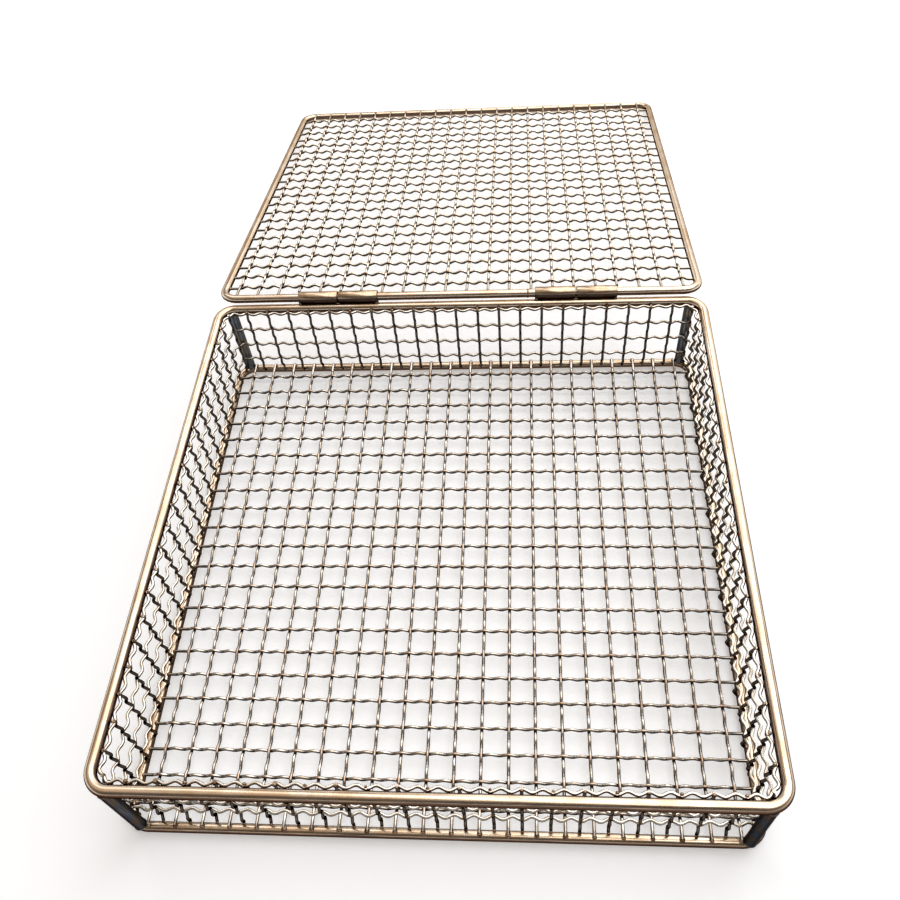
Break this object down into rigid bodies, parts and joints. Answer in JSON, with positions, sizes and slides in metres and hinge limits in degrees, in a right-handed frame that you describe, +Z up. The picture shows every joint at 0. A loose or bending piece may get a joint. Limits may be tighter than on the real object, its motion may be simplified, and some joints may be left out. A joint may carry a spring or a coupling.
{
  "type": "autoclave basket",
  "caption": "Low square steel wire basket for steam sterilising small instruments, with woven mesh walls, floor and a mesh lid that swings on rod hinges.",
  "frame": {"origin": "middle of the tray's base, on the surface that it stands on", "axes": "+Z up, +X to the right seen from the front, +Y to the back, where the hinges and the open lid are"},
  "size_m": [0.24, 0.4761, 0.0521],
  "materials": {
    "polished_rod": "polished",
    "mesh_wire": "bright",
    "hinge_tube": "polished"
  },
  "bodies": {
    "basket": {"top_rim": "polished_rod", "bottom_ring": "polished_rod", "corner_post_front_left": "polished_rod", "corner_post_front_right": "polished_rod", "corner_post_back_left": "polished_rod", "corner_post_back_right": "polished_rod", "wall_uprights_front": "mesh_wire", "wall_uprights_right": "mesh_wire", "wall_uprights_back": "mesh_wire", "wall_uprights_left": "mesh_wire", "wall_uprights_corner": "mesh_wire", "wall_hoop_1": "mesh_wire", "wall_hoop_2": "mesh_wire", "wall_hoop_3": "mesh_wire", "wall_hoop_4": "mesh_wire", "floor_long_wires": "mesh_wire", "floor_cross_wires": "mesh_wire", "hinge_sleeve_left_outer": "hinge_tube", "hinge_sleeve_left_inner": "hinge_tube", "hinge_sleeve_right_inner": "hinge_tube", "hinge_sleeve_right_outer": "hinge_tube"},
    "lid": {"lid_ring": "polished_rod", "lid_long_wires": "mesh_wire", "lid_cross_wires": "mesh_wire"}
  },
  "joints": [
    {"name": "lid_hinge", "type": "hinge", "parent": "basket", "child": "lid", "pos_m": [0, 0.12057, 0.04915], "axis": [1, 0, 0], "range_deg": [-70, 191.4]}
  ]
}
